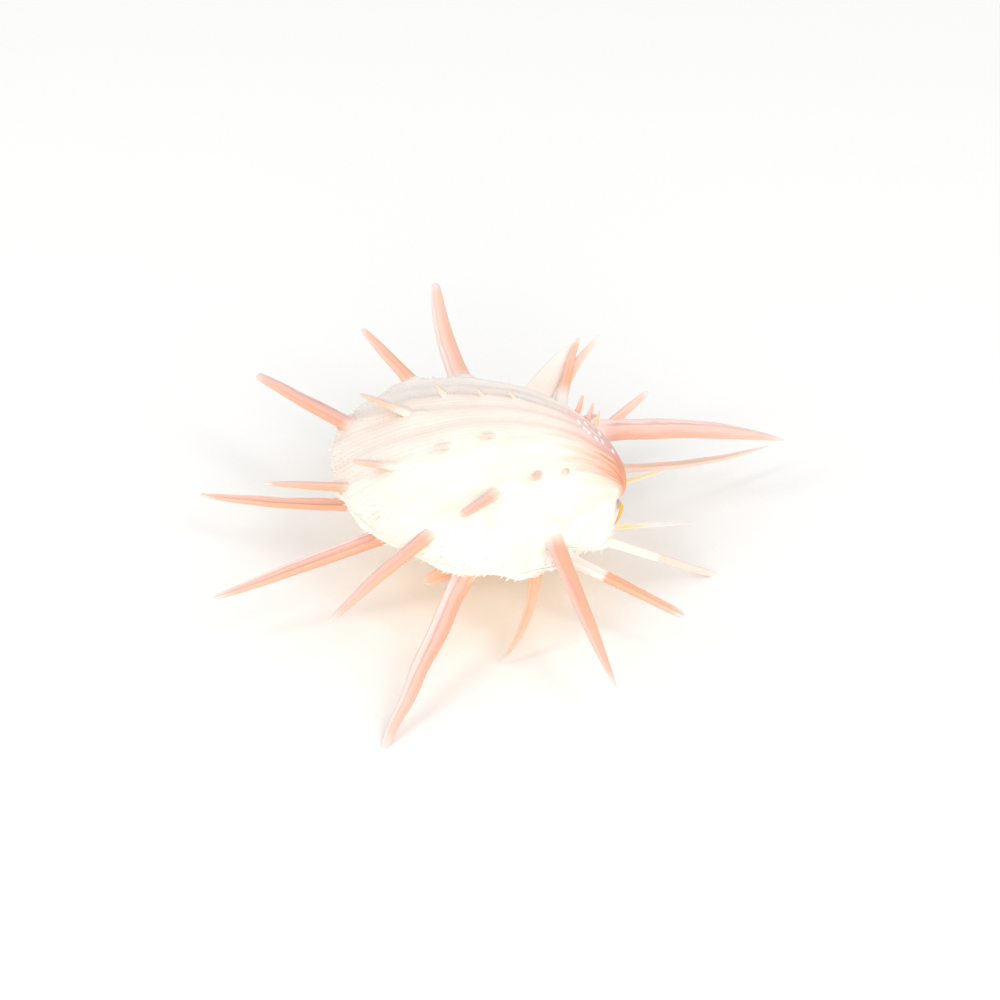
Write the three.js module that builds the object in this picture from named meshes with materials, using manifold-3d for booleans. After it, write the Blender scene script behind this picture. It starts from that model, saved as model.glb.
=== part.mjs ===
// Imperial thorny oyster shell: two hollow valves, closed, each grown in one piece with its ribs and
// spines, and the dried ligament in the hinge between them. Millimetres and degrees, +Z up.
import * as THREE from 'three';
import { mergeVertices } from 'three/addons/utils/BufferGeometryUtils.js';
import Module from 'manifold-3d';

// Margin of the shell, seen square on to the plane between the valves
const discHalfLength = 28.75;
const discHalfWidth = 30.1;
const hingeHalfWidth = 18.2;
const marginSlant = 5;
const earCornerSharpness = 6;
const earNotchStart = 123;
const earNotchEnd = 139;

// How the closed shell stands: the middle of its hinge line, and the lift of the far margin
const hinge = { x: 24.3, y: -0.5, height: 18 };
const pitch = 7.8;

// Walls
const halfGap = 0.15;
const rimInset = 1.7;
const roofDrop = 0.07;
const cavityEndStage = 75;
const beakEndStage = 150;

// Ribs
const mainRibHeight = 1;
const mainRibSpread = 5.5;
const sideRibHeight = 0.4;
const sideRibSpacing = 18;
const reliefFade = 0.8;
const earRibShare = 0.4;

// Each valve: the height of its edge at the margin, and its growth, in which the margin shrinks and
// turns about the hinge axis, back to the beak.
// Ribs are angles round the disc, from the far margin; the front is negative.
const upper = {
  side: 1,
  edge: 1,
  growth: 1.06,
  slowing: 0.15,
  beakReach: 1.2,
  axisShift: 0,
  ribs: [-106, -65, -27, 16, 57, 78, 106, 130],
};
const lower = {
  side: -1,
  edge: 0.4,
  growth: 1.5,
  slowing: 0.06,
  beakReach: 2.2,
  axisShift: 1,
  ribs: [-151, -130, -111, -81, -44, -22, 36, 76, 98, 120, 150],
};

// Spines: rib and growth stage of the root, then length, heading (from +X towards +Y), rise over
// level, width at the root, width of the tip as a share of it, how far the middle bows up and to
// the left of the heading, and the flatness of those that are thinner than the rest.
const upperSpines = [
  { rib: -106, stage: 18, length: 36.5, heading: -68.5, rise: -23, width: 4, tip: 0.1, bow: 1, sway: -0.5 },
  { rib: -62, stage: 46, length: 3.8, heading: -103, rise: 24, width: 1.5, tip: 0.6 },
  { rib: -62, stage: 36, length: 5.8, heading: -115, rise: 19.5, width: 2, tip: 0.5 },
  { rib: -65, stage: 23, length: 13.6, heading: -127, rise: 6, width: 2.7, tip: 0.6 },
  { rib: -67, stage: 7, length: 30, heading: -140, rise: -19, width: 3.1, tip: 0.3, bow: 1 },
  { rib: -25, stage: 31, length: 4.8, heading: -152, rise: 15.5, width: 1.6, tip: 0.5 },
  { rib: -27, stage: 21, length: 5.5, heading: -149, rise: 10.5, width: 1.8, tip: 0.5 },
  { rib: -30, stage: 10, length: 10.4, heading: -170.5, rise: 14.5, width: 2.4, tip: 0.4 },
  { rib: -28, stage: 2, length: 19, heading: 172, rise: -3.5, width: 2.2, tip: 0.25, flat: 0.8 },
  { rib: 18, stage: 36, length: 3, heading: 153, rise: 40, width: 1.6, tip: 0.5 },
  { rib: 18, stage: 28, length: 2.8, heading: 177, rise: 50, width: 1.6, tip: 0.5 },
  { rib: 18, stage: 20, length: 4, heading: 156.5, rise: 44, width: 2, tip: 0.4 },
  { rib: 3, stage: 15, length: 13.7, heading: 152.5, rise: 3.5, width: 2.4, tip: 0.3 },
  { rib: 9, stage: 4, length: 33, heading: 134.5, rise: -5.5, width: 3.7, tip: 0.5, bow: -0.2, flat: 0.8 },
  { rib: -45, stage: 3, length: 3.4, heading: -133, rise: -10.5, width: 1.8, tip: 0.5 },
  { rib: 58, stage: 4, length: 19.5, heading: 130.5, rise: 15.5, width: 3.3, tip: 0.35 },
  { rib: 78, stage: 6, length: 25.5, heading: 107, rise: 28, width: 4.6, tip: 0.35, sway: 1.2 },
  { rib: 104, stage: 12, length: 16.5, heading: 50, rise: 28, width: 6.6, tip: 0.12, flat: 0.26 },
  { rib: 116, stage: 18, length: 19, heading: 76, rise: 33, width: 2.6, tip: 0.25, sway: 0.9 },
  { rib: 113, stage: 16, length: 21.5, heading: 60, rise: 23.5, width: 2.4, tip: 0.3, sway: 1.5, flat: 0.4 },
  { rib: 66, stage: 50, length: 5.2, heading: 16.5, rise: 77.5, width: 1.5, tip: 0.4 },
  { rib: 66, stage: 56, length: 4.6, heading: 56.5, rise: 66, width: 1.4, tip: 0.4 },
  { rib: 66, stage: 61, length: 4.2, heading: 70.5, rise: 52.5, width: 1.2, tip: 0.3 },
  { rib: 119, stage: 40, length: 16, heading: 35, rise: 26, width: 2.3, tip: 0.4 },
  { rib: 106, stage: 42, length: 46, heading: 14, rise: -13, width: 4.6, tip: 0.08, bow: 2 },
];
const lowerSpines = [
  { rib: -149, stage: 6, length: 33, heading: 23.5, rise: -33.5, width: 2, tip: 0.6 },
  { rib: -130, stage: 4, length: 27.5, heading: -25, rise: -14.5, width: 2.8, tip: 0.6, bow: 0.2, flat: 0.85 },
  { rib: -111, stage: 5, length: 20, heading: -130, rise: -59, width: 2.3, tip: 0.25, sway: 2 },
  { rib: -81, stage: 5, length: 40.5, heading: -117, rise: -28.5, width: 4.3, tip: 0.3 },
  { rib: -72, stage: 9, length: 9, heading: -166.5, rise: -17.5, width: 3.8, tip: 0.6, flat: 0.5 },
  { rib: -44, stage: 4, length: 37.5, heading: -163, rise: -12, width: 3.5, tip: 0.3, flat: 0.9 },
  { rib: -22, stage: 4, length: 40, heading: 158, rise: -12.5, width: 3, tip: 0.25, bow: -0.9, flat: 0.9 },
  { rib: 36, stage: 5, length: 30, heading: 108.5, rise: -45, width: 3.4, tip: 0.45 },
  { rib: 76, stage: 5, length: 34.5, heading: 81, rise: -33.5, width: 3.8, tip: 0.4 },
  { rib: 98, stage: 5, length: 12.8, heading: 77, rise: -21.5, width: 2.6, tip: 0.4 },
  { rib: 120, stage: 5, length: 17.5, heading: 50.5, rise: -16.5, width: 2.6, tip: 0.4 },
  { rib: 150, stage: 10, length: 44.5, heading: 29, rise: -13, width: 2.6, tip: 0.15, bow: -2 },
  { rib: 164, stage: 12, length: 14.6, heading: 35, rise: -9.5, width: 1.5, tip: 0.3 },
  { rib: -158, stage: 13, length: 23.5, heading: 37, rise: -23, width: 1.2, tip: 0.3 },
];
const spineFlatness = 0.66;
const grooveShare = 0.5;
const rootSink = 1.2;
const rootSetBack = 0.35;
const rootTaper = 5;
const rootShare = 0.3;
const rootFlare = 0.45;
const flareReach = 2.2;
const longSpine = 8;

// Ligament: the half sizes of the pad, and its place behind the hinge line
const ligament = { x: -2.25, halfLength: 1.75, halfWidth: 3, halfHeight: 1.2, clearance: 0.3 };

const wasm = await Module();
wasm.setup();

function smoothStep(low, high, value) {
  const t = THREE.MathUtils.clamp((value - low) / (high - low), 0, 1);
  return t * t * (3 - 2 * t);
}

// Distance from the hinge line and along it, for one rib angle on the margin
function marginOutline(rib) {
  const angle = THREE.MathUtils.degToRad(rib);
  const along = Math.abs(Math.cos(angle));
  const across = Math.abs(Math.sin(angle));
  const disc = 1 / Math.hypot(along / discHalfLength, across / discHalfWidth);
  const power = earCornerSharpness;
  const ear = ((along / discHalfLength) ** power + (across / hingeHalfWidth) ** power) ** (-1 / power);
  const radius = THREE.MathUtils.lerp(disc, ear, smoothStep(earNotchStart, earNotchEnd, Math.abs(rib)));
  const x = discHalfLength + radius * Math.cos(angle);
  const y = radius * Math.sin(angle) + (marginSlant * x) / (2 * discHalfLength);
  return { x, y };
}

function sizeAtStage(valve, stage) {
  const turn = THREE.MathUtils.degToRad(stage);
  return Math.exp(-valve.growth * turn - valve.slowing * turn * turn);
}

// Tilts a point of the level shell to the way that it stands
function stand(point) {
  return point.applyAxisAngle(new THREE.Vector3(0, 1, 0), THREE.MathUtils.degToRad(pitch));
}

// A place on the smooth outside of a valve
function smoothPoint(valve, rib, stage) {
  const { x, y } = marginOutline(rib);
  const turn = THREE.MathUtils.degToRad(stage);
  const size = sizeAtStage(valve, stage);
  const reach = size * (x + valve.beakReach);
  return new THREE.Vector3(
    valve.axisShift - reach * Math.cos(turn),
    size * y,
    valve.side * (reach * Math.sin(turn) + valve.edge),
  );
}

// The way that the growing margin ran, at a rib and stage
function marginDirection(valve, rib, stage) {
  const step = 0.5;
  return smoothPoint(valve, rib + step, stage).sub(smoothPoint(valve, rib - step, stage)).normalize();
}

function outwardNormal(valve, rib, stage) {
  const step = 0.5;
  const back = smoothPoint(valve, rib, stage + step).sub(smoothPoint(valve, rib, stage - step));
  return back.cross(marginDirection(valve, rib, stage)).multiplyScalar(valve.side).normalize();
}

// Height of the ribs over the smooth valve: the main ribs, and low ones at an even spacing
function ribHeight(valve, rib, stage) {
  const main = valve.ribs.reduce((sum, top) => sum + Math.exp(-(((rib - top) / mainRibSpread) ** 2)), 0);
  const low = 0.5 + 0.5 * Math.cos((2 * Math.PI * rib) / sideRibSpacing);
  const ear = smoothStep(earNotchStart, earNotchEnd, Math.abs(rib));
  const fade = THREE.MathUtils.lerp(1, earRibShare, ear);
  return fade * sizeAtStage(valve, stage) ** reliefFade * (mainRibHeight * main + sideRibHeight * low);
}

function outerPoint(valve, rib, stage) {
  const raised = outwardNormal(valve, rib, stage).multiplyScalar(ribHeight(valve, rib, stage));
  return smoothPoint(valve, rib, stage).add(raised);
}

// A closed form from a cylinder: each vertex goes where place(angle, along, share) puts it, with
// the angle in degrees, along from 0 to 1 and the share of the radius 0 only at a cap's middle.
function mappedCylinder(around, rows, place) {
  const geometry = new THREE.CylinderGeometry(1, 1, 1, around, rows, false);
  const position = geometry.attributes.position;
  for (let i = 0; i < position.count; i += 1) {
    const x = position.getX(i);
    const z = position.getZ(i);
    const angle = THREE.MathUtils.radToDeg(Math.atan2(x, z));
    const point = place(angle, position.getY(i) + 0.5, Math.round(Math.hypot(x, z)));
    position.setXYZ(i, point.x, point.y, point.z);
  }
  return geometry;
}

function toSolid(geometry) {
  const plain = geometry.clone();
  plain.deleteAttribute('normal');
  plain.deleteAttribute('uv');
  const merged = mergeVertices(plain, 1e-4);
  return new wasm.Manifold(new wasm.Mesh({
    numProp: 3,
    vertProperties: Float32Array.from(merged.attributes.position.array),
    triVerts: Uint32Array.from(merged.index.array),
  }));
}

function toGeometry(solid) {
  const mesh = solid.getMesh();
  const geometry = new THREE.BufferGeometry();
  geometry.setAttribute('position', new THREE.BufferAttribute(mesh.vertProperties, 3));
  geometry.setIndex(new THREE.BufferAttribute(mesh.triVerts, 1));
  geometry.computeVertexNormals();
  return geometry;
}

// The outside of a valve, closed flat across its margin and at the beak
function valveForm(valve) {
  const around = 58;
  const rows = 14;
  return mappedCylinder(around, rows, (angle, along, share) => {
    const rib = angle * valve.side;
    const row = Math.round((1 - along) * rows);
    const stage = beakEndStage * (Math.max(row - 1, 0) / (rows - 1)) ** 1.3;
    const rim = outerPoint(valve, rib, stage);
    if (row === 0) rim.z = valve.side * halfGap;
    if (share === 1) return stand(rim);
    const far = outerPoint(valve, 0, stage);
    const near = outerPoint(valve, 180, stage);
    const middle = far.lerp(near, 0.5);
    if (row === 0) middle.z = valve.side * halfGap;
    return stand(middle);
  });
}

// The hollow of a valve, which comes out through the plane between the valves
function cavityForm(valve) {
  const around = 30;
  const rows = 7;
  return mappedCylinder(around, rows, (angle, along, share) => {
    const row = Math.round((1 - along) * rows);
    const stage = cavityEndStage * (Math.max(row - 1, 0) / (rows - 1));
    const { x, y } = marginOutline(angle * valve.side);
    const inset = share * (1 - rimInset / discHalfLength);
    const size = sizeAtStage(valve, stage);
    const turn = THREE.MathUtils.degToRad(stage);
    const reach = size * (discHalfLength + (x - discHalfLength) * inset + valve.beakReach);
    const depth = row === 0 ? -1 : valve.edge + reach * Math.sin(turn) * (1 - roofDrop);
    return stand(new THREE.Vector3(
      valve.axisShift - reach * Math.cos(turn),
      size * y * inset,
      valve.side * depth,
    ));
  });
}

// One spine, a fold of the growing margin: wide along the margin, grooved on its far side, and
// tapering to the tip. It swells out of the skin, over a longer way the flatter it leaves it.
function spineForm(valve, spine) {
  const isLong = spine.length > longSpine;
  const root = stand(smoothPoint(valve, spine.rib, spine.stage));
  const outward = stand(outwardNormal(valve, spine.rib, spine.stage));
  const wide = stand(marginDirection(valve, spine.rib, spine.stage)).multiplyScalar(valve.side);
  const heading = THREE.MathUtils.degToRad(spine.heading);
  const rise = THREE.MathUtils.degToRad(spine.rise);
  const direction = new THREE.Vector3(
    Math.cos(rise) * Math.cos(heading),
    Math.cos(rise) * Math.sin(heading),
    Math.sin(rise),
  );
  const left = new THREE.Vector3(-Math.sin(heading), Math.cos(heading), 0);
  const up = direction.clone().cross(left);
  const lean = direction.dot(outward);
  const swelling = rootTaper * (1.3 - lean);
  const along = direction.clone().addScaledVector(outward, -lean);
  const start = root.clone().addScaledVector(outward, -rootSink);
  start.addScaledVector(along, -rootSetBack * swelling);
  const tip = root.clone().addScaledVector(direction, spine.length);
  const middle = start.clone().lerp(tip, 0.5);
  middle.addScaledVector(up, 2 * (spine.bow ?? 0)).addScaledVector(left, 2 * (spine.sway ?? 0));
  const path = new THREE.QuadraticBezierCurve3(start, middle, tip);
  return mappedCylinder(isLong ? 8 : 6, isLong ? 6 : 3, (angle, height, share) => {
    const t = (1 - height) ** 1.4;
    const centre = path.getPoint(t);
    const tangent = path.getTangent(t);
    const thick = wide.clone().cross(tangent).normalize();
    const across = thick.clone().cross(tangent);
    const taper = 1 - 0.25 * t - (0.75 - spine.tip) * t ** 4;
    const flare = 1 + rootFlare * Math.exp((-t * spine.length) / flareReach);
    const swell = THREE.MathUtils.lerp(rootShare, 1, smoothStep(0, swelling, t * spine.length));
    const halfWidth = 0.5 * spine.width * Math.max(taper, spine.tip) * flare * swell * share;
    const turn = THREE.MathUtils.degToRad(angle);
    const groove = isLong && Math.cos(turn) < -0.9 ? grooveShare : 1;
    centre.addScaledVector(across, halfWidth * Math.sin(turn));
    centre.addScaledVector(thick, halfWidth * (spine.flat ?? spineFlatness) * groove * Math.cos(turn));
    return centre;
  });
}

// The pad of the ligament, made larger by a clearance for the pocket that it lies in
function ligamentForm(clearance) {
  const geometry = new THREE.SphereGeometry(1, 12, 8);
  geometry.scale(
    ligament.halfLength + clearance,
    ligament.halfWidth + clearance,
    ligament.halfHeight + clearance,
  );
  geometry.translate(ligament.x, 0, 0);
  geometry.rotateY(THREE.MathUtils.degToRad(pitch));
  return geometry;
}

// Everything under the ground that the worn spine tips stand on
function underGround() {
  const depth = 20;
  return toSolid(new THREE.BoxGeometry(300, 300, depth).translate(0, 0, -hinge.height - depth / 2));
}

// Everything above the edge of the lower valve
function overLowerEdge() {
  const height = 60;
  const block = new THREE.BoxGeometry(300, 300, height).translate(0, 0, height / 2 - halfGap);
  return toSolid(block.rotateY(THREE.MathUtils.degToRad(pitch)));
}

function valveSolid(valve, spines) {
  let solid = toSolid(valveForm(valve));
  for (const spine of spines) {
    solid = solid.add(toSolid(spineForm(valve, spine)));
  }
  const pocket = toSolid(ligamentForm(ligament.clearance));
  return solid.subtract(toSolid(cavityForm(valve))).subtract(pocket).subtract(underGround());
}

const shellFinish = new THREE.MeshStandardMaterial({ color: '#f6dccd', roughness: 0.6, metalness: 0 });
const lowerFinish = new THREE.MeshStandardMaterial({ color: '#f3b48a', roughness: 0.6, metalness: 0 });
const ligamentFinish = new THREE.MeshStandardMaterial({ color: '#4a3a26', roughness: 0.8, metalness: 0 });

const shell = new THREE.Group();
shell.position.set(hinge.x, hinge.y, hinge.height);

function addPiece(name, geometry, material) {
  const mesh = new THREE.Mesh(geometry, material);
  mesh.name = name;
  shell.add(mesh);
}

addPiece('upper_valve', toGeometry(valveSolid(upper, upperSpines)), shellFinish);
addPiece('lower_valve', toGeometry(valveSolid(lower, lowerSpines).subtract(overLowerEdge())), lowerFinish);
addPiece('hinge_ligament', toGeometry(toSolid(ligamentForm(0))), ligamentFinish);

export default shell;
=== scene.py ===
import math
from collections import namedtuple
from functools import partial

import bpy
import numpy as np
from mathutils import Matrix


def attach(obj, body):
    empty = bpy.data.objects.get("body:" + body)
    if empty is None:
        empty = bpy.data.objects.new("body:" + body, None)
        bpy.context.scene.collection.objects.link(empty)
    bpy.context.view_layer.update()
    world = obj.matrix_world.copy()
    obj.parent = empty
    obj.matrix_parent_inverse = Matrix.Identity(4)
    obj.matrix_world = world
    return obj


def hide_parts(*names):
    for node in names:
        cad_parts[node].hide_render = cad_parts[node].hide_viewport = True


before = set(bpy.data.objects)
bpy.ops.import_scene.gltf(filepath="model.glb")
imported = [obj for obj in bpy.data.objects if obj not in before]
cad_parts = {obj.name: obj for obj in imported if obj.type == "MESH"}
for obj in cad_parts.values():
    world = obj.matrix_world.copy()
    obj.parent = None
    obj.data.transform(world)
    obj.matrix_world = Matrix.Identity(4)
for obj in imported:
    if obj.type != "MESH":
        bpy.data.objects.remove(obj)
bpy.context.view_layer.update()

# Imperial thorny oyster shell: two hollow valves that stay closed, with the dried ligament between
# them. Shapes are worked out in millimetres and degrees, and turned to metres for the meshes.
MM = 0.001

# Margin of the shell, seen square on to the plane between the valves
DISC_HALF_LENGTH = 28.75
DISC_HALF_WIDTH = 30.1
HINGE_HALF_WIDTH = 18.2
MARGIN_SLANT = 5.0
EAR_SHARPNESS = 6.0
EAR_NOTCH = (123.0, 139.0)

# How the closed shell stands: the middle of its hinge line, and the lift of the far margin
HINGE = np.array([24.3, -0.5, 18.0])
PITCH = math.radians(7.8)

# Walls of the valves
HALF_GAP = 0.04
RIM_INSET = 1.7
ROOF_DROP = 0.07
CAVITY_END = 75.0
BEAK_END = 150.0

# Relief of the outside. Main and side ribs are as wide as those of the solid, and those in the middle
# are worn down; the threads between them are 3 degrees apart, which is 1.5 mm at the margin, as on a
# shell of this size.
MAIN_RIB = (1.0, 5.5)
WORN_RIB = (0.45, 9.0)
WORN_RIBS = (-27, 16)
SIDE_RIB = (0.4, 18.0)
EAR_RIB_SHARE = 0.4
RELIEF_FADE = 0.8
THREAD_SPACING = 3.0
THREAD_HEIGHT = 0.08
THREAD_VARIATION = 0.45
THREAD_RHYTHM = 2.1
THREAD_SHARPNESS = 0.7
LEDGE_SPACING = 2.6
LEDGE_HEIGHT = 0.07
LEDGE_WANDER = 0.35
LEDGE_WANDER_LENGTH = 16.0
SWELL_HEIGHT = 0.22
SWELL_LENGTH = 11.0

# Cone of skin that each spine rises from, as shares of the spine's width
LONG_CONE_HEIGHT = 0.3
SHORT_CONE_HEIGHT = 0.2
CONE_SPREAD = 0.62

# Spines: how flat, how deep and how far back the root is sunk, and how it flares
SPINE_FLATNESS = 0.66
ROOT_SINK = 1.2
ROOT_SET_BACK = 0.35
ROOT_TAPER = 5.0
ROOT_SHARE = 0.3
ROOT_FLARE = 0.45
FLARE_REACH = 2.2
WAVE_LENGTH = 15.0

# Lengths over which a spine has a fine mesh and a deep groove, and up to which its clear tip is worn off
LONG_SPINE = 8.0
WORN_SPINE = 14.0

# Rings of a spine's mesh, ridges along it, growth bands across it, and the groove on its far side.
# Heights and depths are shares of its half width.
RING_SPACING = 0.6
RIDGE_COUNT = 7
RIDGE_HEIGHT = 0.05
RIDGE_TWIST = 0.8
RIDGE_TWIST_LENGTH = 7
BAND_SPACING = 1.3
BAND_HEIGHT = 0.02
LONG_GROOVE = 0.5
SHORT_GROOVE = 0.1
GROOVE_EDGES = (0.62, 1.0)

# Spines with a long cream sheath at the root end it sharply. The pale stripe is measured from the
# side that looks to the front, towards the left back; it is partly the spines' own tone and partly
# painted highlight on the side that faces the light, with painted shade in the orange of the far side.
SHEATH_SHARE = 0.3
SHEATH_EDGE = 4.0
FRONT = np.array([0, -0.79, 0.61])
LEFT_BACK = np.array([-0.6, 0.43, 0.55])

# Ligament: middle, half sizes and clearance of its pocket
LIGAMENT_X = -2.25
LIGAMENT_HALF = np.array([1.75, 3.0, 1.2])
POCKET_CLEARANCE = 0.3

Valve = namedtuple("Valve", "side edge growth slowing beak_reach axis_shift ribs")
UPPER = Valve(1, 1.0, 1.06, 0.15, 1.2, 0.0, (-106, -65, -27, 16, 57, 78, 106, 130))
LOWER = Valve(-1, 0.4, 1.5, 0.06, 2.2, 1.0, (-151, -130, -111, -81, -44, -22, 36, 76, 98, 120, 150))

# Each spine: rib and growth stage of its root, length, heading from +X towards +Y, rise over level,
# width at the root, tip as a share of that, bow up and sway to the left of the middle. Then its
# colour: warmth from salmon 0 over orange 0.5 to yellow 1, the share at the root that stays cream,
# how faint the colour is, and where the pale stripe runs, in degrees from the side that looks to the
# front towards the left; the stripe is partly the spine's own tone and partly painted highlight, with
# painted shade on the other side. Last the size of its waves, and its flatness.
Spine = namedtuple(
    "Spine",
    "rib stage length heading rise width tip bow sway warmth cream faint pale wave flat",
    defaults=(0.0, 0.0, 0.1, 0.1, 0.0, 90.0, 0.05, SPINE_FLATNESS),
)
UPPER_SPINES = (
    Spine(-106, 18, 36.5, -68.5, -23, 4, 0.1, bow=1, sway=-0.5, warmth=0.05, cream=0.06, pale=100),
    Spine(-62, 46, 3.8, -103, 24, 1.5, 0.6, warmth=0.3, faint=0.45),
    Spine(-62, 36, 5.8, -115, 19.5, 2, 0.5, warmth=0.1, faint=0.35),
    Spine(-65, 23, 13.6, -127, 6, 2.7, 0.6, warmth=0.0, cream=0.13, faint=0.15),
    Spine(-67, 7, 30, -140, -19, 3.1, 0.3, bow=1, warmth=0.1, cream=0.08, pale=100),
    Spine(-25, 31, 4.8, -152, 15.5, 1.6, 0.5, warmth=0.1, cream=0.3, faint=0.55),
    Spine(-27, 21, 5.5, -149, 10.5, 1.8, 0.5, warmth=0.1, cream=0.3, faint=0.55),
    Spine(-30, 10, 10.4, -170.5, 14.5, 2.4, 0.4, warmth=0.2, cream=0.2, faint=0.2),
    Spine(-28, 2, 19, 172, -3.5, 2.2, 0.25, warmth=0.2, cream=0.02, pale=100, flat=0.8),
    Spine(18, 36, 3, 153, 40, 1.6, 0.5, warmth=0.3, cream=0.3, faint=0.5),
    Spine(18, 28, 2.8, 177, 50, 1.6, 0.5, warmth=0.3, cream=0.3, faint=0.5),
    Spine(18, 20, 4, 156.5, 44, 2, 0.4, warmth=0.4, cream=0.3, faint=0.4),
    Spine(3, 15, 13.7, 152.5, 3.5, 2.4, 0.3, warmth=0.4, cream=0.25, faint=0.35),
    Spine(9, 4, 33, 134.5, -5.5, 3.7, 0.5, bow=-0.2, warmth=0.1, cream=0.04, pale=95, flat=0.8),
    Spine(-45, 3, 3.4, -133, -10.5, 1.8, 0.5, warmth=0.1, cream=0.3, faint=0.88),
    Spine(58, 4, 19.5, 130.5, 15.5, 3.3, 0.35, warmth=0.25, cream=0.0, pale=-90, faint=0.1),
    Spine(78, 6, 25.5, 107, 28, 4.6, 0.35, sway=1.2, warmth=0.2, cream=0.0, pale=60, faint=0.2),
    Spine(104, 12, 16.5, 50, 28, 6.6, 0.12, warmth=0.1, cream=0.0, faint=0.8, flat=0.26),
    Spine(116, 18, 19, 76, 33, 2.6, 0.25, sway=0.9, warmth=0.3, cream=0.25, pale=100),
    Spine(113, 16, 21.5, 60, 23.5, 2.4, 0.3, sway=1.5, warmth=0.2, cream=0.22, faint=0.5, flat=0.4),
    Spine(66, 50, 5.2, 16.5, 77.5, 1.5, 0.4, warmth=0.5, cream=0.0, faint=0.35),
    Spine(66, 56, 4.6, 56.5, 66, 1.4, 0.4, warmth=0.1, cream=0.0, faint=0.4),
    Spine(66, 61, 4.2, 70.5, 52.5, 1.2, 0.3, warmth=0.8, cream=0.0, faint=0.55),
    Spine(119, 40, 16, 35, 26, 2.3, 0.4, warmth=0.0, cream=0.0, pale=95, faint=0.15),
    Spine(106, 42, 46, 14, -13, 4.6, 0.08, bow=2, warmth=0.05, cream=0.05, pale=75, wave=0.08, faint=0.1),
)
LOWER_SPINES = (
    Spine(-149, 6, 33, 23.5, -33.5, 2, 0.6, warmth=0.1, cream=0.47, faint=0.65, pale=180),
    Spine(-130, 4, 27.5, -25, -14.5, 2.8, 0.6, bow=0.2, warmth=0.25, cream=0.37, pale=180, flat=0.85),
    Spine(-111, 5, 20, -130, -59, 2.3, 0.25, sway=2, warmth=0.5, cream=-0.25, faint=0.15, pale=100),
    Spine(-81, 5, 40.5, -117, -28.5, 4.3, 0.3, warmth=0.15, cream=0.0, pale=65, wave=0.2),
    Spine(-72, 9, 9, -166.5, -17.5, 3.8, 0.6, warmth=0.3, cream=0.0, pale=180, flat=0.5, faint=0.3),
    Spine(-44, 4, 37.5, -163, -12, 3.5, 0.3, warmth=0.1, cream=-0.1, pale=100, flat=0.9),
    Spine(-22, 4, 40, 158, -12.5, 3, 0.25, bow=-0.9, warmth=0.2, cream=0.0, pale=110, flat=0.9),
    Spine(36, 5, 30, 108.5, -45, 3.4, 0.45, warmth=0.3),
    Spine(76, 5, 34.5, 81, -33.5, 3.8, 0.4, warmth=0.3),
    Spine(98, 5, 12.8, 77, -21.5, 2.6, 0.4, warmth=0.3),
    Spine(120, 5, 17.5, 50.5, -16.5, 2.6, 0.4, warmth=0.3),
    # The next two spines, by the beak, are made fainter: painted light that lifts the shade they lie in
    Spine(150, 10, 44.5, 29, -13, 2.6, 0.15, bow=-2, warmth=0.55, cream=0.0, faint=0.55, pale=-105),
    Spine(164, 12, 14.6, 35, -9.5, 1.5, 0.3, warmth=0.92, cream=0.0, faint=0.5),
    Spine(-158, 13, 23.5, 37, -23, 1.2, 0.3, warmth=1, cream=0.0, faint=0.4),
)

# Fine prickles: where they grow, what share of them is missing, and more on the back
PRICKLE_SPACING = 1.75
PRICKLE_LAST_STAGE = 66
PRICKLE_LAST_RIB = 172
PRICKLE_GAPS = 0.12
BACK_GAPS = 0.35
BACK_RIBS = (45, 130)

# Length of a prickle, with what the back and the margin add to it, how deep it roots, how far it curls
# as a share of its length, and how flat it is
PRICKLE_LENGTH = 0.32
LONGER_ON_BACK = 0.7
LONGER_AT_MARGIN = 0.75
PRICKLE_WIDTH = 0.3
PRICKLE_FADE = 0.55
PRICKLE_SINK = 0.22
PRICKLE_CURL = 0.16
PRICKLE_FLATNESS = 0.6

# Broad worn scales near the beak of the upper valve, by rib and stage, with their length and width
WORN_SCALES = ((14, 57), (5, 60), (1, 62), (-1, 66), (0, 70), (0, 79), (22, 60), (20, 68))
WORN_SCALE_LENGTH = 1.1
WORN_SCALE_WIDTH = 1.3

# Sizes of the patterns in the materials, in millimetres, or in degrees of growth or round a spine; the
# growth lines wander by a count of lines. Widths across the ribs are those at the margin. Real chalk
# grains and board fibres are under a tenth of a millimetre, too fine to show in the render, so both
# are drawn coarser.
DEGREE_AT_MARGIN = math.radians(1) * DISC_HALF_WIDTH
STREAK_WIDTH = 1.25
STREAK_GROWTH = 28.6
BAND_WIDTH = 4.04
BAND_GROWTH = 33.3
CLOUD_SIZE = 7.7
GRAIN_SIZE = 0.385
GRAIN_DEPTH = 0.03
GROWTH_LINE_SPACING = 0.435
GROWTH_LINE_WANDER = 1.6
GROWTH_LINE_DEPTH = 0.06
SPINE_STREAK_LENGTH = 6.94
SPINE_STREAK_TURN = 31.25
SPINE_STREAK_WANDER = 44.0
PATCH_SIZE = 1.11
WRINKLE_SPACING = 0.75
WRINKLE_DEPTH = 0.12
FIBRE_SIZE = 1.11

# How strongly the mineral of the shell bends light
CALCITE_IOR = 1.58

# Past the shell on every side
FAR = 90.0

# What the materials read at each point of the shell
TRAITS = ("rib", "stage", "grown", "along", "turn", "spine", "warmth", "past_root", "faint", "inside")


def smooth_step(low, high, value):
    t = np.clip((value - low) / (high - low), 0, 1)
    return t * t * (3 - 2 * t)


def unit(vectors):
    return vectors / np.linalg.norm(vectors, axis=-1, keepdims=True)


def place(x, y, z):
    return np.stack(np.broadcast_arrays(x, y, z), axis=-1).astype(float)


# The level shell turned to the way that it stands, about its hinge
def stand(points):
    x, y, z = points[..., 0], points[..., 1], points[..., 2]
    return place(
        math.cos(PITCH) * x + math.sin(PITCH) * z,
        y,
        -math.sin(PITCH) * x + math.cos(PITCH) * z,
    )


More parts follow.
